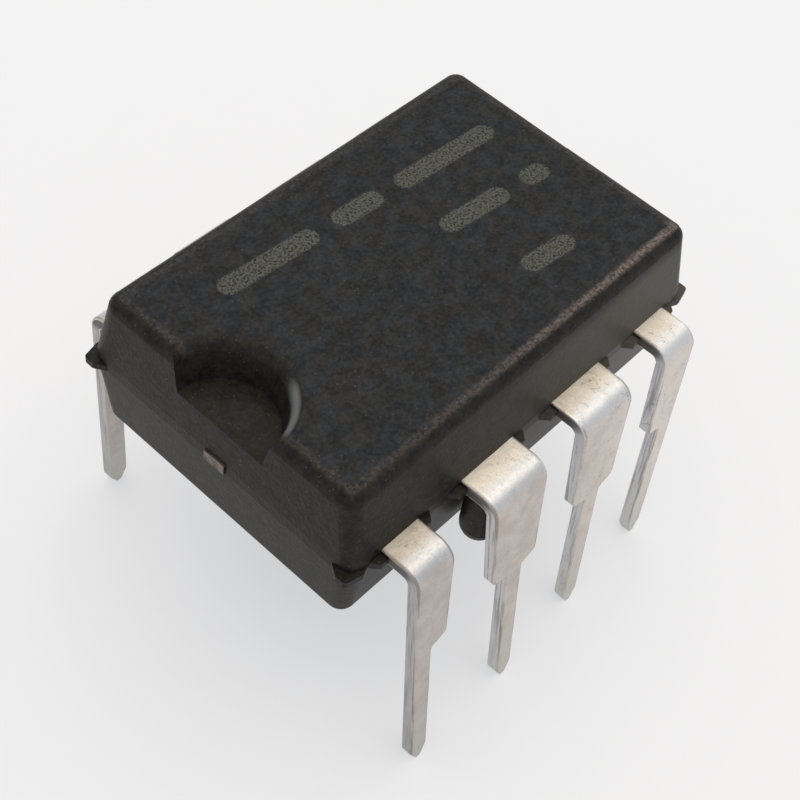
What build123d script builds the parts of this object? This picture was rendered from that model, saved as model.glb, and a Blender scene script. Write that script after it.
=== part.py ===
from build123d import *
import os
from math import hypot, radians, tan

# An eight-lead dual in-line package: a stamped, tin-plated copper lead frame, a silicon die bonded
# to its paddle, eight fine wires from the die to the leads, and one resin moulding round them all.
# Frame: +X along the body, away from its notched end; -Y towards leads 1 to 4; +Z up.
# The origin is under the middle of the body, level with the tips of the leads. Millimetres.

# ---- driving dimensions ----------------------------------------------------------------------
# Lead frame sheet and the two rows
pitch = 2.54  # centre to centre along a row
leads_per_row = 4
frame_thickness = 0.25  # the copper sheet that leads and paddle are stamped from
bend_reach = 0.87  # from the body's side to the outer face of a lead at its bend
bend_radius = 0.275  # to the middle of the sheet
splay_angle = (7.5, 7.5, 6.2, 5.1, 5.1, 6.2, 7.5, 2.6)  # outward lean of leads 1 to 8, in degrees
tip_drift = (0.01, 0.05, -0.15, -0.27, 0, 0, 0, 0.09)  # how far each tip has bent along +X

# Lead 8 was knocked in handling
knocked_lead = 8
knock_in = 0.20  # of its bend, towards the body
knock_aside = -0.16  # of its bend, along +X

# One lead, from the body down
shoulder_width = 1.44  # broad part that stops the package above a board
shoulder_taper = 0.10  # each edge of the shoulder draws in by this down to its step
tip_width = 0.44  # narrow part that enters the board
tip_length = 3.60  # below the shoulder step
step_drop = 0.10  # the step slopes down by this towards the narrow part
step_fillet = 0.10  # in the corner under the step
point_height = 0.28  # chamfered point
point_width = 0.14  # blunt end of the point

# Moulded body
standoff = 0.55  # from the shoulder step up to the underside
upper_depth = 1.59  # of the upper mould half, above the lead frame
lower_depth = 1.56  # of the lower mould half, below the lead frame
body_length = 9.52  # at the lead frame
body_width = 6.52
upper_side_draft = 11.0
upper_end_draft = 4.0
lower_side_draft = 6.5
lower_end_draft = 5.0
corner_radius = 0.30
edge_round = 0.27  # of the top's edges
foot_round = 0.16  # of the underside's edges
notch_radius = 1.20
notch_depth = 0.80
notch_draft = 12.0
ejector_diameter = 1.50  # two shallow pin marks on the underside
ejector_depth = 0.05
ejector_spacing = 4.60
vent_thickness = 0.14  # of the flash where the mould vents at its corners
vent_length = 0.45  # of that flash along the body's ends and sides
vent_end_reach = 0.15  # beyond the ends
vent_side_reach = 0.09  # beyond the sides
vent_round = 0.08  # of that flash's corners
dam_flash_reach = 0.17  # resin left beside each shoulder, inside the dam bar
dam_flash_width = 0.30
dam_flash_thickness = 0.16
drop_width = 0.76  # a drop of resin that bled down behind the shoulder of lead 2
drop_height = 1.59
drop_reach = 0.67  # of the drop beyond the body's side
drop_inset = 0.52  # of its middle behind the edge of the shoulder
drop_round = 0.36  # of its lower end

# Paddle, die and wires inside
paddle_length = 3.60
paddle_width = 2.70
paddle_corner = 0.20
paddle_downset = 0.30
tie_bar_width = 0.50
tie_bar_stub = 0.04  # left standing outside each end of the body where the bar was trimmed
downset_start = 0.08  # from the paddle's edge to the slope in each tie bar
downset_run = 0.45
frame_gap = 0.30  # between neighbouring pieces of the stamped frame
anchor_depth = 0.95  # full-width part of a lead just inside the body
finger_width = 0.80  # inner end of a middle lead
arm_width = 0.62  # inner arm of an end lead
lock_hole = 0.36  # resin flows through it and locks the lead
lock_inset = 0.50  # from the body's side to the middle of the hole
die_length = 1.80
die_width = 1.50
die_thickness = 0.28
attach_thickness = 0.03
attach_margin = 0.08
wire_diameter = 0.05
wire_facets = 6
wire_rise = 0.34  # straight part above a die pad
wire_bend = 0.12
wire_root = 0.02  # trimmed flush from each end of a wire
ball_diameter = 0.11  # ball bond on a die pad
ball_height = 0.03
pad_pitch = 0.44
pad_inset = 0.16  # from the die's edge
stitch_inset = 0.16  # from a finger's inner end

# ---- levels and places that follow -----------------------------------------------------------
seating_plane = tip_length
body_bottom = seating_plane + standoff
lead_bottom = body_bottom + lower_depth
lead_middle = lead_bottom + frame_thickness / 2
lead_top = lead_bottom + frame_thickness
body_top = lead_top + upper_depth
half_length = body_length / 2
half_width = body_width / 2
half_row = (leads_per_row - 1) * pitch / 2
lead_span = body_width + 2 * bend_reach  # over the outer faces of the two rows, at the bends
bend_corner = (lead_span - frame_thickness) / 2
paddle_top = lead_top - paddle_downset
die_bottom = paddle_top + attach_thickness
die_top = die_bottom + die_thickness
finger_end = paddle_width / 2 + frame_gap  # middle fingers, from the long axis
arm_end = paddle_length / 2 + frame_gap  # end arms, from the middle of the length
arm_side = tie_bar_width / 2 + frame_gap  # end arms, from the long axis
last_lead = 2 * leads_per_row


def lead_x(number):
    """Leads run along -Y in +X, then back along +Y."""
    step = number - 1 if number <= leads_per_row else last_lead - number
    return step * pitch - half_row


def row_side(number):
    return -1 if number <= leads_per_row else 1


def shoulder_sides(number):
    """The sides, seen from outside the row, on which a lead has a shoulder."""
    place = (number - 1) % leads_per_row
    return [side for side in (-1, 1) if 0 <= place + side < leads_per_row]


# ---- one lead --------------------------------------------------------------------------------
def leg_shift(number, height):
    """How far aside the middle of a leg stands at a height, seen from outside the row."""
    aside = knock_aside if number == knocked_lead else 0
    drift = aside + (tip_drift[number - 1] - aside) * (lead_bottom - height) / lead_bottom
    return -row_side(number) * drift


def leg_edge(number, side):
    """Points down one edge of a leg, seen from outside: shoulder, step, narrow part, point."""
    shouldered = side in shoulder_sides(number)
    top = shoulder_width / 2 if shouldered else tip_width / 2
    edge = [(top, body_top), (top, lead_bottom)]
    if shouldered:
        edge.append((top - shoulder_taper, seating_plane + step_drop / 2))
        edge.append((tip_width / 2, seating_plane - step_drop / 2))
    edge += [(tip_width / 2, point_height), (point_width / 2, 0)]
    return [(side * y + leg_shift(number, min(z, lead_bottom)), z) for y, z in edge]


def finger_outline(number):
    """Points of the flat part inside the body, from above: +Y points inwards from the row."""
    sides = shoulder_sides(number)
    left = shoulder_width / 2 if -1 in sides else tip_width / 2
    right = shoulder_width / 2 if 1 in sides else tip_width / 2
    if len(sides) == 2:
        neck = finger_width / 2
        return [
            (-left, -half_width),
            (-left, anchor_depth - half_width),
            (-neck, anchor_depth - half_width + (left - neck)),
            (-neck, -finger_end),
            (neck, -finger_end),
            (neck, anchor_depth - half_width + (right - neck)),
            (right, anchor_depth - half_width),
            (right, -half_width),
        ]
    # An end lead turns along the body towards the end of the paddle.
    turn = sides[0]
    reach = half_row - arm_end
    shift = leg_shift(number, lead_bottom)
    outer, inner = shift - turn * tip_width / 2, shift + turn * shoulder_width / 2
    return [
        (outer, -half_width),
        (outer, -arm_side),
        (turn * reach, -arm_side),
        (turn * reach, -arm_side - arm_width),
        (inner, -arm_side - arm_width),
        (inner, -half_width),
    ]


def lead(number):
    """A stamped strip: its bent side profile cut to the leg's outline, and its flat inner finger."""
    x, side = lead_x(number), row_side(number)
    profile_plane = Plane(origin=(x, 0, 0), x_dir=(0, side, 0), z_dir=(side, 0, 0))
    front_plane = Plane(origin=(x, 0, 0), x_dir=(-side, 0, 0), z_dir=(0, side, 0))
    plan_plane = Plane(origin=(x, 0, lead_bottom), x_dir=(-side, 0, 0), z_dir=(0, 0, 1))
    below_tip = frame_thickness
    corner = bend_corner - knock_in if number == knocked_lead else bend_corner
    foot = corner + (lead_middle + below_tip) * tan(radians(splay_angle[number - 1]))
    hole_shift = leg_shift(number, lead_bottom)
    hole_shift += sum(shoulder_sides(number)) * (shoulder_width - tip_width) / 4
    with BuildPart() as strip:
        with BuildSketch(profile_plane):
            with BuildLine():
                FilletPolyline(
                    (half_width, lead_middle),
                    (corner, lead_middle),
                    (foot, -below_tip),
                    radius=bend_radius,
                )
            trace(line_width=frame_thickness)
        extrude(amount=shoulder_width / 2, both=True)
        with BuildSketch(front_plane) as front:
            with BuildLine():
                Polyline(*leg_edge(number, -1), *reversed(leg_edge(number, 1)), close=True)
            make_face()
            inner_corners = [leg_edge(number, side)[3] for side in shoulder_sides(number)]
            fillet([front.vertices().sort_by_distance(at)[0] for at in inner_corners], radius=step_fillet)
        extrude(amount=lead_span, mode=Mode.INTERSECT)
        with BuildSketch(plan_plane):
            with BuildLine():
                Polyline(*finger_outline(number), close=True)
            make_face()
            with Locations((hole_shift, lock_inset - half_width)):
                Circle(lock_hole / 2, mode=Mode.SUBTRACT)
        extrude(amount=frame_thickness)
    return strip.part


leads = {f"lead_{number}": lead(number) for number in range(1, last_lead + 1)}

# ---- paddle with its two tie bars ------------------------------------------------------------
with BuildPart() as die_paddle:
    with BuildSketch(Plane.XY.offset(paddle_top - frame_thickness)):
        RectangleRounded(paddle_length, paddle_width, paddle_corner)
    extrude(amount=frame_thickness)
    with BuildSketch(Plane.XZ):
        slope_start = paddle_length / 2 + downset_start
        bar_top = [
            (0, paddle_top),
            (slope_start, paddle_top),
            (slope_start + downset_run, lead_top),
            (half_length + tie_bar_stub, lead_top),
        ]
        with BuildLine():
            Polyline(*bar_top, *[(x, z - frame_thickness) for x, z in reversed(bar_top)], close=True)
        make_face()
        mirror(about=Plane.YZ)
    extrude(amount=tie_bar_width / 2, both=True)

# ---- die and the layer that bonds it ---------------------------------------------------------
with BuildPart() as die_attach:
    with BuildSketch(Plane.XY.offset(paddle_top)):
        RectangleRounded(die_length + 2 * attach_margin, die_width + 2 * attach_margin, attach_margin)
    extrude(amount=attach_thickness)

with BuildPart() as silicon_die:
    with BuildSketch(Plane.XY.offset(die_bottom)):
        Rectangle(die_length, die_width)
    extrude(amount=die_thickness)


# ---- bond wires ------------------------------------------------------------------------------
def bond_wire(number):
    """A gold wire: ball on a die pad, rise, bend, and a long fall to the stitch on its lead."""
    x, side = lead_x(number), row_side(number)
    pad_x = x / pitch * pad_pitch
    pad_y = side * (die_width / 2 - pad_inset)
    if len(shoulder_sides(number)) == 2:
        stitch_x, stitch_y = x, side * (finger_end + stitch_inset)
    else:
        stitch_x = x / abs(x) * (arm_end + stitch_inset)
        stitch_y = side * (arm_side + arm_width / 2)
    run_x, run_y = stitch_x - pad_x, stitch_y - pad_y
    start = die_top - wire_root
    wire_plane = Plane(origin=(pad_x, pad_y, 0), x_dir=(run_x, run_y, 0), z_dir=(run_y, -run_x, 0))
    with BuildPart() as wire:
        with BuildLine(wire_plane) as loop:
            FilletPolyline(
                (0, start),
                (0, die_top + wire_rise),
                (hypot(run_x, run_y), lead_top - wire_root),
                radius=wire_bend,
            )
        with BuildSketch(Plane.XY.offset(start)):
            with Locations((pad_x, pad_y)):
                RegularPolygon(wire_diameter / 2, wire_facets)
        sweep(path=loop.line)
        with BuildSketch(Plane.XY.offset(die_top)):
            with Locations((pad_x, pad_y)):
                RegularPolygon(ball_diameter / 2, wire_facets)
        extrude(amount=ball_height)
        add(silicon_die.part, mode=Mode.SUBTRACT)
        add(leads[f"lead_{number}"], mode=Mode.SUBTRACT)
    return wire.part


wires = {f"bond_wire_{number}": bond_wire(number) for number in range(1, last_lead + 1)}


# ---- moulded body ----------------------------------------------------------------------------
def drawn_in(depth, side_draft, end_draft):
    """Length and width of a mould half's flat face, after its drafts."""
    length = body_length - 2 * depth * tan(radians(end_draft))
    width = body_width - 2 * depth * tan(radians(side_draft))
    return length, width


top_length, top_width = drawn_in(upper_depth, upper_side_draft, upper_end_draft)
foot_length, foot_width = drawn_in(lower_depth, lower_side_draft, lower_end_draft)

# A drop of resin that bled down behind the shoulder of lead 2, on the side of lead 1.
with BuildPart() as resin_drop:
    drop_x = lead_x(2) - shoulder_width / 2 + drop_inset
    drop_y = half_width + drop_reach - drop_width / 2
    with BuildSketch(Plane.XY.offset(lead_bottom - drop_height)):
        with Locations((drop_x, -drop_y)):
            Circle(drop_width / 2)
    extrude(amount=drop_height)
    fillet(resin_drop.faces().sort_by(Axis.Z)[0].edges(), radius=drop_round)

with BuildPart() as moulded_body:
    # The band level with the lead frame, then a drafted half on each side of it.
    with BuildSketch(Plane.XY.offset(lead_bottom)):
        RectangleRounded(body_length, body_width, corner_radius)
    extrude(amount=frame_thickness)
    with BuildSketch(Plane.XY.offset(lead_top)):
        RectangleRounded(body_length, body_width, corner_radius)
    with BuildSketch(Plane.XY.offset(body_top)):
        RectangleRounded(top_length, top_width, corner_radius)
    loft()
    with BuildSketch(Plane.XY.offset(body_bottom)):
        RectangleRounded(foot_length, foot_width, corner_radius)
    with BuildSketch(Plane.XY.offset(lead_bottom)):
        RectangleRounded(body_length, body_width, corner_radius)
    loft()

    # The half-round notch marks the end that leads 1 and 8 are at.
    with BuildSketch(Plane.XY.offset(body_top)):
        with Locations((-top_length / 2, 0)):
            Circle(notch_radius)
    extrude(amount=-notch_depth, taper=notch_draft, mode=Mode.SUBTRACT)
    top_face = moulded_body.faces().sort_by(Axis.Z)[-1]
    foot_face = moulded_body.faces().sort_by(Axis.Z)[0]
    fillet(foot_face.edges(), radius=foot_round)
    fillet(top_face.edges(), radius=edge_round)

    # Two ejector pins leave shallow marks on the underside.
    with BuildSketch(Plane.XY.offset(body_bottom)):
        with GridLocations(ejector_spacing, 0, 2, 1):
            Circle(ejector_diameter / 2)
    extrude(amount=ejector_depth, mode=Mode.SUBTRACT)

    # Flash at the corner vents.
    with BuildSketch(Plane.XY.offset(lead_bottom)) as vents:
        with BuildLine():
            Polyline(
                (half_length - vent_length, half_width - vent_length),
                (half_length - vent_length, half_width),
                (half_length - vent_length / 2, half_width + vent_side_reach),
                (half_length + vent_end_reach, half_width),
                (half_length + vent_end_reach, half_width - vent_length / 2),
                (half_length, half_width - vent_length),
                close=True,
            )
        make_face()
        fillet(vents.vertices().sort_by(Axis((0, 0, 0), (1, 1, 0)))[-3:], radius=vent_round)
        mirror(about=Plane.XZ)
        mirror(about=Plane.YZ)
    extrude(amount=vent_thickness)

    # Flash beside every shoulder, thinner away from the body.
    for number in range(1, last_lead + 1):
        side = row_side(number)
        sides = shoulder_sides(number)
        left = (shoulder_width if -1 in sides else tip_width) / 2
        right = (shoulder_width if 1 in sides else tip_width) / 2
        flash_plane = Plane(
            origin=(lead_x(number), side * half_width, lead_bottom), x_dir=(-side, 0, 0), z_dir=(0, 0, 1)
        )
        with BuildSketch(flash_plane):
            with BuildLine():
                Polyline(
                    (-left - dam_flash_width, 0),
                    (-left - dam_flash_width / 2, -dam_flash_reach),
                    (right + dam_flash_width / 2, -dam_flash_reach),
                    (right + dam_flash_width, 0),
                    close=True,
                )
            make_face()
        extrude(amount=dam_flash_thickness)

    add(resin_drop.part)

    # The resin fills only what the frame, die and wires leave.
    for piece in (*leads.values(), die_paddle.part, die_attach.part, silicon_die.part, *wires.values()):
        add(piece, mode=Mode.SUBTRACT)

# ---- output ----------------------------------------------------------------------------------
pieces = {
    "moulded_body": moulded_body.part,
    "die_paddle": die_paddle.part,
    "die_attach": die_attach.part,
    "silicon_die": silicon_die.part,
    **leads,
    **wires,
}
os.makedirs("parts", exist_ok=True)
for name, piece in pieces.items():
    piece.label = name
    export_step(piece, f"parts/{name}.step")
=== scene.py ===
from math import cos, pi, radians, sin, tan

import bpy
import numpy as np
from mathutils import Matrix, Vector


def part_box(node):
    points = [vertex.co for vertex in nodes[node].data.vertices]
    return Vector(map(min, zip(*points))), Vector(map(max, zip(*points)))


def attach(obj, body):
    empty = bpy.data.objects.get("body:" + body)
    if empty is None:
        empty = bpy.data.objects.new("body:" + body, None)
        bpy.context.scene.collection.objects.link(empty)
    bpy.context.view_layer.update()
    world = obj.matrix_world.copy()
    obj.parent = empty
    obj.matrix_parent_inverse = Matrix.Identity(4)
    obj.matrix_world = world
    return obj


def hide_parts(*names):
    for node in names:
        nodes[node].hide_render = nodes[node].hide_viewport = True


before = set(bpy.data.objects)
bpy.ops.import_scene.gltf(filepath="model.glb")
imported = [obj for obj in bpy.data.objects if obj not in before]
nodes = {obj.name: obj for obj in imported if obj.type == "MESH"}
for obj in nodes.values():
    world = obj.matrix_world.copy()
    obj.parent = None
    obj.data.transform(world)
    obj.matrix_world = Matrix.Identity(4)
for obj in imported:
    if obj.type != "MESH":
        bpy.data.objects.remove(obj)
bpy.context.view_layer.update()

# ---- the eight leads -------------------------------------------------------------------------
# Each lead is one strip stamped from a copper sheet, bent down once outside the body and tin plated.
# The die leaves a rolled edge on its outer face, a sharp one on its inner face, and sheared sides.
# An inner finger, flat inside the resin, holds it; the tin is satin, warm grey, mottled and scratched.
MM = 0.001
lead_pitch = 2.54
first_lead_x = -1.5 * lead_pitch
sheet = 0.25
sheet_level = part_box("lead_2")[1].z / MM - sheet / 2
sheet_underside = 5.71
body_side = 3.26
bend_corner, bend_radius = 4.005, 0.275
leans = (7.5, 7.5, 6.2, 5.1, 5.1, 6.2, 7.5, 2.6)  # degrees outwards, leads 1 to 8
tip_drifts = (0.01, 0.05, -0.15, -0.27, 0, 0, 0, 0.09)  # along the row
knock_in, knock_aside = 0.20, -0.16  # of lead 8 at its bend
root_half, shoulder_half, leg_half, point_half = 0.72, 0.62, 0.22, 0.07
step_height, step_slope, point_height = 3.60, 0.05, 0.28
shoulder_radius, step_radius, corner_radius = 0.6, 0.07, 0.12
above_sheet = 6.2
finger_ends = (0.55, 1.65)  # of an end lead and a middle one, from the long axis
pad_end, pad_half = 1.17, 1.71  # of an end lead's finger, on the side of its neighbour
neck_start, neck_end, neck_half = 1.99, 2.31, 0.40  # of a middle lead's finger
root_rings = (2.9, 3.1)
hair = 0.001  # between the two rings of a sudden change of width
longest_ring_step = 0.12
rolled_edge, sharp_edge = 0.035, 0.018


def arc_corners(points, radii, pieces=6):
    """A polyline with each inner corner replaced by an arc: the arc leaves both sides at its radius
    times the tangent of half the turn, and its points share the turn equally."""
    points = np.array(points, float)
    out = [points[0]]
    for before, at, after, radius in zip(points, points[1:], points[2:], radii):
        u, v = (before - at) / np.linalg.norm(before - at), (after - at) / np.linalg.norm(after - at)
        half = np.arccos(np.clip(u @ v, -1, 1)) / 2
        centre = at + (u + v) / np.linalg.norm(u + v) * radius / np.sin(half)
        start, end = at + u * radius / np.tan(half), at + v * radius / np.tan(half)
        share = np.linspace(0, 1, pieces + 1)[:, None]
        chord = start + (end - start) * share - centre
        out.extend(centre + chord / np.linalg.norm(chord, axis=1)[:, None] * radius)
    out.append(points[-1])
    return np.array(out)


def spread(values, longest):
    """The same values with as many even ones between neighbours as keep every step under the longest."""
    parts = []
    for start, end in zip(values, values[1:]):
        ends = max(2, int(np.ceil(abs(end - start) / longest)) + 1)
        parts.append(np.linspace(start, end, ends)[:-1])
    return np.append(np.concatenate(parts), values[-1])


# Half width of a shouldered edge and of a straight one, by height.
shoulder_line = arc_corners(
    [
        (root_half, above_sheet),
        (root_half, sheet_underside),
        (shoulder_half, step_height + step_slope),
        (leg_half, step_height - step_slope),
        (leg_half, point_height),
        (point_half, 0),
    ],
    [shoulder_radius, step_radius, corner_radius, corner_radius],
)
straight_line = arc_corners(
    [(leg_half, above_sheet), (leg_half, point_height), (point_half, 0)], [corner_radius]
)


def lead_section():
    """Points round a lead's section, anticlockwise: share of the way from its left edge to its right,
    inset from that edge, place through the sheet, and 1 on the sheared sides. Corners are quarter arcs."""
    half = sheet / 2
    turn = np.linspace(0, pi / 2, 4)
    flat = np.array((0.04, 0.14, 0.3, 0.5, 0.7, 0.86, 0.96))
    side = np.array((-0.9, -0.4, 0.4, 0.9))
    side_half = (half - rolled_edge + half - sharp_edge) / 2
    side_middle = (sharp_edge - rolled_edge) / 2
    rows = []
    rows += [(1, -sharp_edge * (1 - sin(a)), -half + sharp_edge * (1 - cos(a)), 0.5) for a in turn]
    rows += [(1, 0, side_half * s + side_middle, 1) for s in side]
    rows += [(1, -rolled_edge * (1 - cos(a)), half - rolled_edge * (1 - sin(a)), 0.5) for a in turn]
    rows += [(1 - f, rolled_edge * (2 * f - 1), half, 0) for f in flat]
    rows += [(0, rolled_edge * (1 - sin(a)), half - rolled_edge * (1 - cos(a)), 0.5) for a in turn]
    rows += [(0, 0, side_half * -s + side_middle, 1) for s in side]
    rows += [(0, sharp_edge * (1 - cos(a)), -half + sharp_edge * (1 - sin(a)), 0.5) for a in turn]
    rows += [(f, sharp_edge * (1 - 2 * f), -half, 0) for f in flat]
    return np.array(rows, float).T


def lead_mesh(number):
    """A strip's surface over length and section: each ring stands square to the bent centreline, and its
    two edges follow the stamped outline at its height, or the finger's outline inside the body. The leg's
    drift along the row grows evenly from the sheet's underside down to the tip."""
    near_row = number <= 4
    side = -1 if near_row else 1
    place = (number - 1) % 4
    end_lead = place in (0, 3)
    x_middle = first_lead_x + (number - 1 if near_row else 8 - number) * lead_pitch
    corner = bend_corner - (knock_in if number == 8 else 0)
    aside = knock_aside if number == 8 else 0
    lean = radians(leans[number - 1])
    foot = corner + sheet_level * tan(lean)
    inner_end = finger_ends[0] if end_lead else finger_ends[1]

    # Centreline: outwards, round the bend, down to the tip. Rings are closest at the bend and the step.
    line = arc_corners([(inner_end, sheet_level), (corner, sheet_level), (foot, 0)], [bend_radius], 14)
    arc = line[1:-1]
    tip_rings = np.linspace(0, 0.012, 4)
    heights = np.unique(np.concatenate((shoulder_line[:, 1], straight_line[:, 1], tip_rings)))
    below_bend = heights < arc[-1, 1] - 0.02
    heights = spread(heights[below_bend][::-1], longest_ring_step)
    width_rings = (pad_end, pad_end + hair) if end_lead else (neck_start, neck_end, neck_end + hair)
    flats = np.array((inner_end, inner_end + hair, *width_rings, *root_rings))
    path_y = np.concatenate((flats, arc[:, 0], corner + (sheet_level - heights) * tan(lean)))
    path_z = np.concatenate((np.full(len(flats), sheet_level), arc[:, 1], heights))
    full_turn = pi / 2 - lean
    bend_turns = np.linspace(0, full_turn, len(arc))
    turned = np.concatenate((np.zeros(len(flats)), bend_turns, np.full(len(heights), full_turn)))
    along = np.concatenate(([0], np.cumsum(np.hypot(np.diff(path_y), np.diff(path_z)))))

    share, inset, through, cut = lead_section()
    out = path_y[:, None] + through * np.sin(turned)[:, None]
    up = np.maximum(path_z[:, None] + through * np.cos(turned)[:, None], 0)

    # Half widths of the left and the right edge, seen from outside the row.
    widths = []
    for neighbour in (place - 1, place + 1):
        shouldered = 0 <= neighbour < 4
        outline = shoulder_line if shouldered else straight_line
        width = np.interp(up, outline[::-1, 1], outline[::-1, 0])
        inside = out < body_side
        if end_lead and shouldered:
            width = np.where(inside & (out < pad_end + hair / 2), pad_half, width)
        if not end_lead:
            neck = np.interp(out, [neck_start, neck_end], [neck_half, root_half])
            width = np.where(inside & (out < neck_end + hair / 2), neck, width)
        widths.append(width)
    left, right = widths
    across = -left + share * (left + right) + inset
    drift = aside + (tip_drifts[number - 1] - aside) * np.clip(1 - up / (sheet_level - sheet / 2), 0, 1)
    x = x_middle - side * across + drift
    grid = np.stack((x, side * out, up), 2) * MM
    if near_row:
        grid = grid[:, ::-1]
        cut, through = cut[::-1], through[::-1]

    # Faces join each ring to the next, and both ends close on their middle points.
    rings, around = grid.shape[:2]
    verts = np.concatenate((grid.reshape(-1, 3), grid[0].mean(0)[None], grid[-1].mean(0)[None]))
    ring, k = np.meshgrid(np.arange(rings - 1), np.arange(around), indexing="ij")
    here = ring * around + k
    beside = ring * around + (k + 1) % around
    quads = np.stack((here, beside, beside + around, here + around), 2).reshape(-1, 4)
    k = np.arange(around)
    beside = (k + 1) % around
    first, last = np.full(around, len(verts) - 2), np.full(around, len(verts) - 1)
    last_ring = (rings - 1) * around
    first_cap = np.stack((first, beside, k), 1)
    last_cap = np.stack((last, last_ring + k, last_ring + beside), 1)
    mesh = bpy.data.meshes.new(f"tin_lead_{number}")
    mesh.from_pydata(verts.tolist(), [], quads.tolist() + first_cap.tolist() + last_cap.tolist())
    mesh.polygons.foreach_set("use_smooth", np.ones(len(mesh.polygons), bool))

    # The finish follows the strip: its length from the resin, where it was sheared, its depth.
    along -= body_side - inner_end
    lengths = np.append(np.repeat(along, around), (along[0], along[-1]))
    shears = np.append(np.tile(cut, rings), (1, 1))
    depths = np.append(np.tile(through, rings), (0, 0))
    for name, values in (("along", lengths), ("sheared", shears), ("depth", depths)):
        mesh.attributes.new(name, "FLOAT", "POINT").data.foreach_set("value", values.astype(np.float32))
    lead = bpy.data.objects.new(f"tin_lead_{number}", mesh)
    bpy.context.scene.collection.objects.link(lead)
    return lead


def node(tree, kind, inputs, output=0, **settings):
    """A new shader node. Each input, by name or place, takes a number, a colour or a node's output."""
    made = tree.nodes.new("ShaderNode" + kind)
    for key, value in settings.items():
        setattr(made, key, value)
    for key, value in inputs.items():
        if isinstance(value, bpy.types.NodeSocket):
            tree.links.new(value, made.inputs[key])
        else:
            made.inputs[key].default_value = value
    return made.outputs[output]


def new_material(name, **shader):
    """A material whose one shader takes the given inputs: returns it, its node tree and that shader."""
    made = bpy.data.materials.new(name)
    made.use_nodes = True
    principled = made.node_tree.nodes["Principled BSDF"]
    for key, value in shader.items():
        principled.inputs[key.replace("_", " ")].default_value = value
    return made, made.node_tree, principled


def millimetres(tree):
    """The piece's own coordinates, in millimetres."""
    place = node(tree, "TexCoord", {}, "Object")
    return node(tree, "VectorMath", {0: place, "Scale": 1 / MM}, operation="SCALE")


def noise(tree, where, scale, detail=3.0, roughness=0.55):
    """Cloudy noise from 0 to 1, mostly near a half."""
    inputs = {"Vector": where, "Scale": scale, "Detail": detail, "Roughness": roughness}
    return node(tree, "TexNoise", inputs)


def between(tree, value, low, high, to_low=0.0, to_high=1.0):
    """The value taken from its range to another one, smoothly and held at both ends."""
    inputs = {"Value": value, "From Min": low, "From Max": high, "To Min": to_low, "To Max": to_high}
    return node(tree, "MapRange", inputs, interpolation_type="SMOOTHSTEP")


def falling(tree, value, low, high):
    """1 where the value is under the range, and 0 where it is over it."""
    return between(tree, value, low, high, 1.0, 0.0)


def mixed(tree, share, first, second):
    """The first colour, with a share of the second. Each is red, green and blue, or a node's output."""
    first, second = (c if isinstance(c, bpy.types.NodeSocket) else (*c, 1.0) for c in (first, second))
    return node(tree, "Mix", {"Factor": share, 6: first, 7: second}, 2, data_type="RGBA")


def sums(tree, operation, *values):
    """One step of arithmetic on numbers or nodes' outputs."""
    return node(tree, "Math", dict(enumerate(values)), operation=operation)


def product(tree, first, *others):
    """All the values multiplied together."""
    for value in others:
        first = sums(tree, "MULTIPLY", first, value)
    return first


def off_by(tree, value, middle):
    """How far the value is from the middle one, either way."""
    return sums(tree, "ABSOLUTE", sums(tree, "SUBTRACT", value, middle))


def bump(tree, shader, height, distance):
    """Fine relief on the shader's surface, as deep as the distance, in metres, where the height is 1."""
    made = node(tree, "Bump", {"Height": height, "Distance": distance, "Strength": 1.0})
    tree.links.new(made, shader.inputs["Normal"])


# Tones of the tin, as red, green and blue. Where two are named together, one is mottled with the other.
# The bend's tones are lighter and more neutral, partly a painted highlight; the pale root and leg tones
# are painted light towards the far end; the dark face and cut tones are painted shade on leads 1 and 8;
# the resin-side tone of the cut is a painted reflection of the black body.
root_cream, root_tan, root_pale = (0.68, 0.625, 0.53), (0.60, 0.535, 0.425), (0.84, 0.79, 0.69)
bend_bright_painted_highlight, bend_dull_painted_highlight = (0.745, 0.75, 0.74), (0.70, 0.70, 0.675)
leg_warm, leg_brown, leg_pale_painted_light = (0.62, 0.565, 0.515), (0.53, 0.475, 0.43), (0.80, 0.75, 0.69)
tip_grey, grain_grey, dark_face_painted_shade = (0.55, 0.55, 0.505), (0.40, 0.37, 0.34), (0.24, 0.235, 0.24)
cut_bright, cut_dull = (0.64, 0.63, 0.64), (0.33, 0.325, 0.33)
cut_tip, cut_dark_painted_shade = (0.53, 0.54, 0.49), (0.24, 0.235, 0.23)
painted_body_reflection, corner_dirt = (0.075, 0.06, 0.06), (0.16, 0.12, 0.095)

# Where one tone gives way to the next: along the strip from the resin, up from the tip, and along the row.
root_to_bend, bend_to_leg, painted_reflection_end = (0.26, 0.52), (0.55, 0.88), (0.58, 0.84)
tip_to_leg = (0.4, 2.6)
past_leads_1_8, past_leads_2_7 = (-2.7, -2.4), (-0.4, 0.0)
outside_leads_2_7 = (2.2, 2.5)
to_far_end = (0.0, 2.6)


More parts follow.
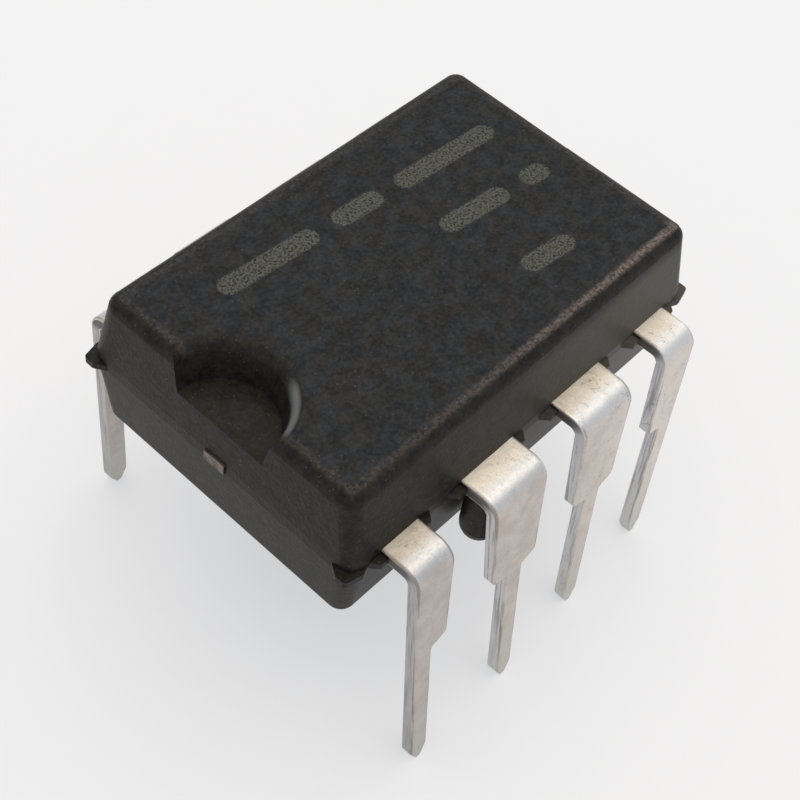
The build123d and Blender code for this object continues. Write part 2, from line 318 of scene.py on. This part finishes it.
def tin_plating():
    """Satin tin over copper: cream by the resin, lighter and neutral on the bend, partly a painted
    highlight, warm grey below, mottled and finely scratched. The sheared sides are neutral grey with
    streaks along the strip, darkened beside the resin as a painted reflection of the black body. Leads 1
    and 8 are a little darker, a painted shade; leads 3 to 6 are paler, a painted light; the roots of 2 and
    7 are paler too."""
    made, tree, shader = new_material("tin_plating", Metallic=1.0)
    where = millimetres(tree)
    along, sheared, depth = (
        node(tree, "Attribute", {}, "Fac", attribute_name=name) for name in ("along", "sheared", "depth")
    )
    x, _, height = node(tree, "SeparateXYZ", {0: where}).node.outputs
    far_end = between(tree, x, *to_far_end)
    painted_shade_on_leads_1_8 = falling(tree, x, *past_leads_1_8)
    on_middle_leads = falling(tree, sums(tree, "ABSOLUTE", x), *outside_leads_2_7)
    on_leads_2_7 = product(tree, on_middle_leads, falling(tree, x, *past_leads_2_7))
    towards_tip = falling(tree, height, *tip_to_leg)

    # The outer face, in three tones that follow one another away from the resin; the bend's lighter,
    # neutral tone is partly a painted highlight.
    mottle = between(tree, noise(tree, where, 2.4, 5.0, 0.65), 0.36, 0.64)
    root = mixed(tree, mottle, root_cream, root_tan)
    # Towards the far end, on leads 3 to 6, root and leg are paler: painted light. The roots of leads 2 and
    # 7 are paler too.
    pale_share = sums(tree, "MULTIPLY_ADD", on_leads_2_7, 0.8, product(tree, far_end, 0.5))
    root = mixed(tree, pale_share, root, root_pale)
    bend = mixed(tree, mottle, bend_bright_painted_highlight, bend_dull_painted_highlight)
    leg = mixed(tree, mottle, leg_warm, leg_brown)
    leg = mixed(tree, product(tree, far_end, 0.65), leg, leg_pale_painted_light)
    leg = mixed(tree, product(tree, towards_tip, 0.6), leg, tip_grey)
    colour = mixed(tree, between(tree, along, *root_to_bend), root, bend)
    colour = mixed(tree, between(tree, along, *bend_to_leg), colour, leg)
    grain = noise(tree, where, 30.0, 3.0, 0.6)
    colour = mixed(tree, between(tree, grain, 0.50, 0.74, 0.0, 0.30), colour, grain_grey)
    # Painted shade: the faces of leads 1 and 8 are darkened.
    colour = mixed(tree, product(tree, painted_shade_on_leads_1_8, 0.13), colour, dark_face_painted_shade)

    # Sheared metal, darkened as far as the bend by a painted reflection of the black body, with painted
    # shade on leads 1 and 8.
    on_cut = between(tree, sheared, 0.5, 0.9)
    streaked = node(
        tree,
        "CombineXYZ",
        {
            "X": product(tree, x, 3.0),
            "Y": product(tree, along, 0.8),
            "Z": product(tree, depth, 18.0),
        },
    )
    cut_tone = between(tree, noise(tree, streaked, 1.0, 4.0, 0.6), 0.46, 0.66)
    cut = mixed(tree, cut_tone, cut_bright, cut_dull)
    cut = mixed(tree, product(tree, towards_tip, 0.55), cut, cut_tip)
    cut = mixed(tree, product(tree, painted_shade_on_leads_1_8, 0.45), cut, cut_dark_painted_shade)
    ragged = sums(tree, "MULTIPLY_ADD", cut_tone, 0.16, along)
    darkening = falling(tree, ragged, *painted_reflection_end)
    cut = mixed(tree, product(tree, darkening, 0.85), cut, painted_body_reflection)
    colour = mixed(tree, on_cut, colour, cut)

    # Dirt lies along the outer sheared corner, and in hair scratches where a noise crosses a half.
    corner = falling(tree, off_by(tree, sheared, 0.5), 0.0, 0.4)
    corner = product(tree, corner, between(tree, depth, -0.02, 0.02))
    corner = product(tree, corner, between(tree, noise(tree, streaked, 0.9), 0.42, 0.60, 0.0, 0.55))
    drawn = node(tree, "VectorMath", {0: where, 1: (1.0, 0.4, 0.4)}, operation="MULTIPLY")
    strand = falling(tree, off_by(tree, noise(tree, drawn, 3.0, 5.0, 0.6), 0.5), 0.0, 0.008)
    strand = product(tree, strand, between(tree, noise(tree, where, 1.6), 0.40, 0.54))
    strand_share = between(tree, far_end, 0.0, 0.6, 0.12, 0.62)
    dirt = sums(tree, "MAXIMUM", corner, product(tree, strand, strand_share))
    colour = mixed(tree, dirt, colour, corner_dirt)
    tree.links.new(colour, shader.inputs["Base Color"])

    rough = between(tree, grain, 0.3, 0.7, 0.42, 0.54)
    rough = sums(tree, "MULTIPLY_ADD", on_cut, -0.06, rough)
    tree.links.new(rough, shader.inputs["Roughness"])
    relief = sums(tree, "MULTIPLY_ADD", strand, -0.25, noise(tree, where, 5.0, 6.0, 0.62))
    bump(tree, shader, relief, 7.0e-6)
    return made


tin = tin_plating()
for number in range(1, 9):
    tin_lead = lead_mesh(number)
    tin_lead.data.materials.append(tin)
    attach(tin_lead, "root")
    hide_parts(f"lead_{number}")

# ---- the moulded body ------------------------------------------------------------------------
# One moulding of black epoxy resin filled with silica, pressed round the frame in two mould halves.
# Its skin is a fine matt grain from the spark-eroded mould, with filler grains as pale specks with painted
# glints.
top_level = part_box("moulded_body")[1].z / MM
flat_half_length, flat_half_width = 4.40, 2.73  # of the top inside its round edges
notch_x, notch_rim = -4.65, 1.22
bar_height = 0.44
marking_rows = (
    (-3.1, 1.72, -3.5, ((2.3, 0.4), (1.2, 0.4), (2.6, 0.0))),
    (1.0, 0.13, -5.0, ((1.7, 0.4), (0.7, 0.0))),
    (1.4, -1.52, -5.0, ((1.3, 0.0),)),
)

# Tones of the resin, each in its darkest and its palest grain, then the painted light on the near side,
# the edge wear with its painted highlight, the notch rim's painted highlight, the filler grains' painted
# glints, and the marks.
top_grey = (0.010, 0.0108, 0.0118), (0.031, 0.033, 0.0355)
top_brown = (0.0108, 0.0101, 0.0085), (0.0335, 0.0315, 0.0265)
side_brown = (0.009, 0.0079, 0.0063), (0.025, 0.022, 0.0176)
pale_side_painted_light, worn_edge_painted_highlight, painted_rim_highlight = (0.115, 0.102, 0.083), (0.165, 0.130, 0.110), (0.16, 0.168, 0.158)
spark_plain, spark_on_painted_highlight, mark_grey = (0.12, 0.12, 0.11), (0.27, 0.205, 0.17), (0.093, 0.096, 0.076)


def marking_bars(tree, where):
    """Rounded bars in rows on the top: 1 inside a bar, falling to 0 over its edge. A row gives its
    start, its slope in degrees, and pairs of a bar's length and the gap after it. A bar is all that lies
    within half its height of its middle line."""
    ink = 0.0
    for start_x, start_y, slope, lengths in marking_rows:
        shifted = node(tree, "VectorMath", {0: where, 1: (start_x, start_y, 0)}, operation="SUBTRACT")
        slanted = {"Vector": shifted, "Angle": radians(-slope)}
        turned = node(tree, "VectorRotate", slanted, rotation_type="Z_AXIS")
        split = node(tree, "SeparateXYZ", {0: turned})
        down = sums(tree, "ABSOLUTE", node(tree, "SeparateXYZ", {0: turned}, "Y"))
        at = 0.0
        for length, gap in lengths:
            half = (length - bar_height) / 2
            beside = off_by(tree, split, at + length / 2)
            beside = sums(tree, "MAXIMUM", sums(tree, "SUBTRACT", beside, half), 0.0)
            squares = sums(tree, "ADD", sums(tree, "POWER", beside, 2.0), sums(tree, "POWER", down, 2.0))
            reach = sums(tree, "SQRT", squares)
            inside = falling(tree, reach, bar_height / 2 - 0.04, bar_height / 2 + 0.02)
            ink = sums(tree, "MAXIMUM", ink, inside)
            at += length + gap
    return ink


def moulding_compound():
    """Black resin: dull and grainy on the flat top, smoother on its drafted sides, with light wear along
    the top's edges, a painted highlight along the near edge, painted light on the near side and a painted
    highlight on the notch's rim, with plain marking bars burnt into the top."""
    made, tree, shader = new_material("moulding_compound", Specular_IOR_Level=0.12)
    where = millimetres(tree)
    x, y, height = node(tree, "SeparateXYZ", {0: where}).node.outputs
    on_top = between(tree, height, top_level - 0.018, top_level - 0.004)
    grain = noise(tree, where, 13.0, 3.0, 0.6)
    patches = between(tree, noise(tree, where, 3.6, 4.0, 0.65), 0.36, 0.64)
    fine = sums(tree, "MULTIPLY_ADD", patches, 0.5, between(tree, grain, 0.35, 0.66, 0.0, 0.5))
    browned = between(tree, noise(tree, where, 3.0, 4.0), 0.4, 0.6)
    grey, brown = mixed(tree, fine, *top_grey), mixed(tree, fine, *top_brown)
    top = mixed(tree, product(tree, browned, 0.6), grey, brown)
    colour = mixed(tree, on_top, mixed(tree, fine, *side_brown), top)

    # Where the flat top turns over its edge the skin shows light wear all round; along the near edge, most
    # of all above leads 3 and 4, the pale band is mainly a painted highlight.
    past_width = sums(tree, "SUBTRACT", sums(tree, "ABSOLUTE", y), flat_half_width)
    past_length = sums(tree, "SUBTRACT", sums(tree, "ABSOLUTE", x), flat_half_length)
    past_flat = sums(tree, "MAXIMUM", past_width, past_length)
    wear_and_painted_highlight = product(tree, between(tree, past_flat, -0.12, -0.01), falling(tree, past_flat, 0.03, 0.13))
    on_near_edge = falling(tree, y, -2.75, -2.5)
    near_edge_painted_highlight = product(tree, between(tree, x, -3.5, 4.3, 0.05, 0.95), on_near_edge)
    wear_and_painted_highlight = product(tree, wear_and_painted_highlight, sums(tree, "ADD", near_edge_painted_highlight, 0.15))
    wear_and_painted_highlight = product(tree, wear_and_painted_highlight, between(tree, height, top_level - 0.3, top_level - 0.1))

    # Painted light: the near side is paler towards leads 3 and 4.
    painted_light_on_side = product(tree, between(tree, x, -3.0, 3.6, 0.0, 0.58), falling(tree, y, -3.0, -2.7))
    painted_light_on_side = product(tree, painted_light_on_side, falling(tree, height, top_level - 0.55, top_level - 0.14))
    colour = mixed(tree, painted_light_on_side, colour, pale_side_painted_light)

    # Painted highlight: the notch's rim is pale where it nears leads 1 and 2.
    notch_centre = (notch_x, 0, top_level)
    from_notch = node(tree, "VectorMath", {0: where, 1: notch_centre}, 1, operation="DISTANCE")
    rim = falling(tree, off_by(tree, from_notch, notch_rim), 0.02, 0.11)
    rim = product(tree, rim, falling(tree, y, -0.75, -0.35))
    rim = product(tree, rim, between(tree, x, notch_x + 0.15, notch_x + 0.4))
    rim = product(tree, rim, between(tree, height, top_level - 0.35, top_level - 0.13))

    # Filler grains show as pale specks with painted glints, commoner and brighter in the edge's painted
    # highlight.
    cells = node(tree, "TexVoronoi", {"Vector": where, "Scale": 26.0}).node.outputs
    rare = sums(tree, "MULTIPLY_ADD", wear_and_painted_highlight, -0.50, 0.955)
    chance = node(tree, "SeparateXYZ", {0: cells["Color"]})
    spark = between(tree, sums(tree, "SUBTRACT", chance, rare), 0.0, 0.05)
    spark = product(tree, spark, falling(tree, cells["Distance"], 0.12, 0.55))
    spark_colour = mixed(tree, wear_and_painted_highlight, spark_plain, spark_on_painted_highlight)
    band_speckle = between(tree, noise(tree, where, 13.0, 4.0, 0.7), 0.36, 0.62, 0.2, 1.0)
    colour = mixed(tree, product(tree, wear_and_painted_highlight, band_speckle), colour, worn_edge_painted_highlight)
    colour = mixed(tree, product(tree, rim, 0.8), colour, painted_rim_highlight)
    colour = mixed(tree, product(tree, spark, 0.55), colour, spark_colour)

    # The marking: plain bars, burnt in as pale dots.
    dots = between(tree, noise(tree, where, 22.0, 2.0, 0.5), 0.34, 0.60)
    ink = product(tree, marking_bars(tree, where), product(tree, dots, on_top))
    colour = mixed(tree, ink, colour, mark_grey)
    tree.links.new(colour, shader.inputs["Base Color"])
    rough = between(tree, on_top, 0.0, 1.0, 0.42, 0.60)
    tree.links.new(sums(tree, "MULTIPLY_ADD", wear_and_painted_highlight, -0.12, rough), shader.inputs["Roughness"])
    bump(tree, shader, sums(tree, "MULTIPLY_ADD", spark, 0.4, grain), 9e-6)
    return made


body = nodes["moulded_body"]
body.data.materials.clear()
body.data.materials.append(moulding_compound())

# ---- paddle, die, paste and wires ------------------------------------------------------------
# The frame's centre is bare copper; silver-filled paste bonds the silicon die to it, and gold wire
# runs to the leads. All lie inside the resin, but for the trimmed ends of the two tie bars.


def frame_copper():
    """Bare copper with a rolled grain, browned and dulled at the cut ends outside the resin."""
    made, tree, shader = new_material("frame_copper", Metallic=1.0)
    where = millimetres(tree)
    stretched = node(tree, "VectorMath", {0: where, 1: (0.6, 14.0, 14.0)}, operation="MULTIPLY")
    bright, browned = (0.80, 0.42, 0.27), (0.62, 0.31, 0.19)
    dark_stain, pale_stain = (0.10, 0.085, 0.075), (0.20, 0.15, 0.13)
    tone = between(tree, noise(tree, stretched, 1.0), 0.35, 0.65)
    outward = sums(tree, "ABSOLUTE", node(tree, "SeparateXYZ", {0: where}))
    spotted = between(tree, noise(tree, where, 9.0), 0.4, 0.6)
    darkening = mixed(tree, spotted, dark_stain, pale_stain)
    out_of_resin = between(tree, outward, 4.60, 4.70)
    colour = mixed(tree, out_of_resin, mixed(tree, tone, bright, browned), darkening)
    tree.links.new(colour, shader.inputs["Base Color"])
    tree.links.new(between(tree, tone, 0.0, 1.0, 0.35, 0.5), shader.inputs["Roughness"])
    return made


def die_attach_paste():
    """Silver flakes in cured resin."""
    made, tree, shader = new_material("die_attach_paste", Metallic=0.6, Roughness=0.55)
    bright, dull = (0.62, 0.62, 0.60), (0.40, 0.40, 0.39)
    flakes = between(tree, noise(tree, millimetres(tree), 24.0, 3.0), 0.4, 0.6)
    colour = mixed(tree, flakes, bright, dull)
    tree.links.new(colour, shader.inputs["Base Color"])
    return made


def silicon():
    """Polished grey silicon whose circuit shows as small blocks of slightly different tints."""
    made, tree, shader = new_material("silicon", Metallic=0.3, Roughness=0.18)
    blue_grey, violet_grey = (0.13, 0.14, 0.17), (0.22, 0.19, 0.24)
    cells = {"Vector": millimetres(tree), "Scale": 5.0}
    blocks = node(tree, "TexVoronoi", cells, "Color", distance="CHEBYCHEV")
    colour = mixed(tree, node(tree, "SeparateXYZ", {0: blocks}), blue_grey, violet_grey)
    tree.links.new(colour, shader.inputs["Base Color"])
    return made


def bond_wire_gold():
    """Drawn gold, a little uneven in tone."""
    made, tree, shader = new_material("bond_wire_gold", Metallic=1.0, Roughness=0.25)
    pale_gold, deep_gold = (0.95, 0.68, 0.28), (0.88, 0.60, 0.22)
    tone = between(tree, noise(tree, millimetres(tree), 12.0), 0.4, 0.6)
    colour = mixed(tree, tone, pale_gold, deep_gold)
    tree.links.new(colour, shader.inputs["Base Color"])
    return made


gold = bond_wire_gold()
inner_finishes = {
    "die_paddle": frame_copper(),
    "die_attach": die_attach_paste(),
    "silicon_die": silicon(),
}
inner_finishes.update({f"bond_wire_{number}": gold for number in range(1, 9)})
for name, finish in inner_finishes.items():
    nodes[name].data.materials.clear()
    nodes[name].data.materials.append(finish)

# ---- floor, light and camera -----------------------------------------------------------------
# The package stands on its lead tips on a plain white sheet, in soft light from above. The sheet, the
# lamp and the camera are the stage and no part of it.
backdrop_white = (0.925, 0.925, 0.93, 1)


def white_sheet():
    """Matt white card. Much of what the camera and reflections see of it is its own flat white, so that
    the object's shadow on it stays pale."""
    made, tree, shader = new_material("white_sheet", Roughness=0.9)
    paler, darker = (0.83, 0.83, 0.83), (0.81, 0.81, 0.81)
    card = mixed(tree, noise(tree, millimetres(tree), 1.5, 4.0), paler, darker)
    tree.links.new(card, shader.inputs["Base Color"])
    shader.inputs["Specular IOR Level"].default_value = 0.0
    flat_white = node(tree, "Emission", {"Color": backdrop_white, "Strength": 1.0})
    by_camera = node(tree, "LightPath", {}, "Is Camera Ray")
    by_reflection = node(tree, "LightPath", {}, "Is Glossy Ray")
    seen = sums(tree, "MAXIMUM", by_camera, by_reflection)
    seen = sums(tree, "MAXIMUM", seen, node(tree, "LightPath", {}, "Is Transmission Ray"))
    flat_share = product(tree, seen, 0.55)
    both = node(tree, "MixShader", {0: flat_share, 1: shader.outputs[0], 2: flat_white})
    tree.links.new(both, tree.nodes["Material Output"].inputs["Surface"])
    return made


bpy.ops.mesh.primitive_plane_add(size=0.6)
floor = bpy.context.object
floor.name = "floor"
floor.data.materials.append(white_sheet())

# Cool daylight all round, brighter at the walls than overhead, before a plain white backdrop.
at_walls, overhead = 0.80, 0.50
world = bpy.data.worlds.new("soft_daylight")
world.use_nodes = True
sky = world.node_tree
daylight = sky.nodes["Background"]
daylight.inputs["Color"].default_value = (0.89, 0.97, 1.10, 1)
sky_height = node(sky, "SeparateXYZ", {0: node(sky, "TexCoord", {}, "Generated")}, "Z")
brightness = between(sky, sky_height, 0.25, 0.75, at_walls, overhead)
sky.links.new(brightness, daylight.inputs["Strength"])
backdrop = node(sky, "Background", {"Color": backdrop_white, "Strength": 1.0})
by_camera = node(sky, "LightPath", {}, "Is Camera Ray")
both = node(sky, "MixShader", {0: by_camera, 1: daylight.outputs[0], 2: backdrop})
sky.links.new(both, sky.nodes["World Output"].inputs["Surface"])
bpy.context.scene.world = world

# A broad warm lamp nearly overhead, a little beyond the far end.
lamp_way, lamp_distance = Vector((0.17, 0.06, 0.98)), 0.50
lamp_data = bpy.data.lights.new("overhead_lamp", "AREA")
lamp_data.energy = 2.42
lamp_data.color = (1.0, 0.88, 0.74)
lamp_data.shape = "DISK"
lamp_data.size = 0.836
lamp = bpy.data.objects.new("overhead_lamp", lamp_data)
lamp.location = lamp_way * lamp_distance
lamp.rotation_euler = lamp.location.to_track_quat("Z", "Y").to_euler()
bpy.context.scene.collection.objects.link(lamp)

# The camera looks down from beyond the notched end of the near row, and is held a little askew.
azimuth, elevation, roll = radians(-56.006), radians(52.005), radians(10.828)
distance = 29.718 * MM
look_at = Vector((-0.2013, -0.4753, 4.0)) * MM
back = Vector((sin(azimuth) * cos(elevation), -cos(azimuth) * cos(elevation), sin(elevation)))
level_right = back.cross(Vector((0, 0, -1))).normalized()
level_up = back.cross(level_right)
right = cos(roll) * level_right + sin(roll) * level_up
up = cos(roll) * level_up - sin(roll) * level_right
camera_data = bpy.data.cameras.new("camera")
camera_data.sensor_width = 36.0
camera_data.lens = 67.9185
camera_data.clip_start = 0.001
camera = bpy.data.objects.new("camera", camera_data)
turn = Matrix((right, up, back)).transposed()
camera.matrix_world = Matrix.Translation(look_at + back * distance) @ turn.to_4x4()
bpy.context.scene.collection.objects.link(camera)
bpy.context.scene.camera = camera
bpy.context.scene.view_settings.view_transform = "Standard"
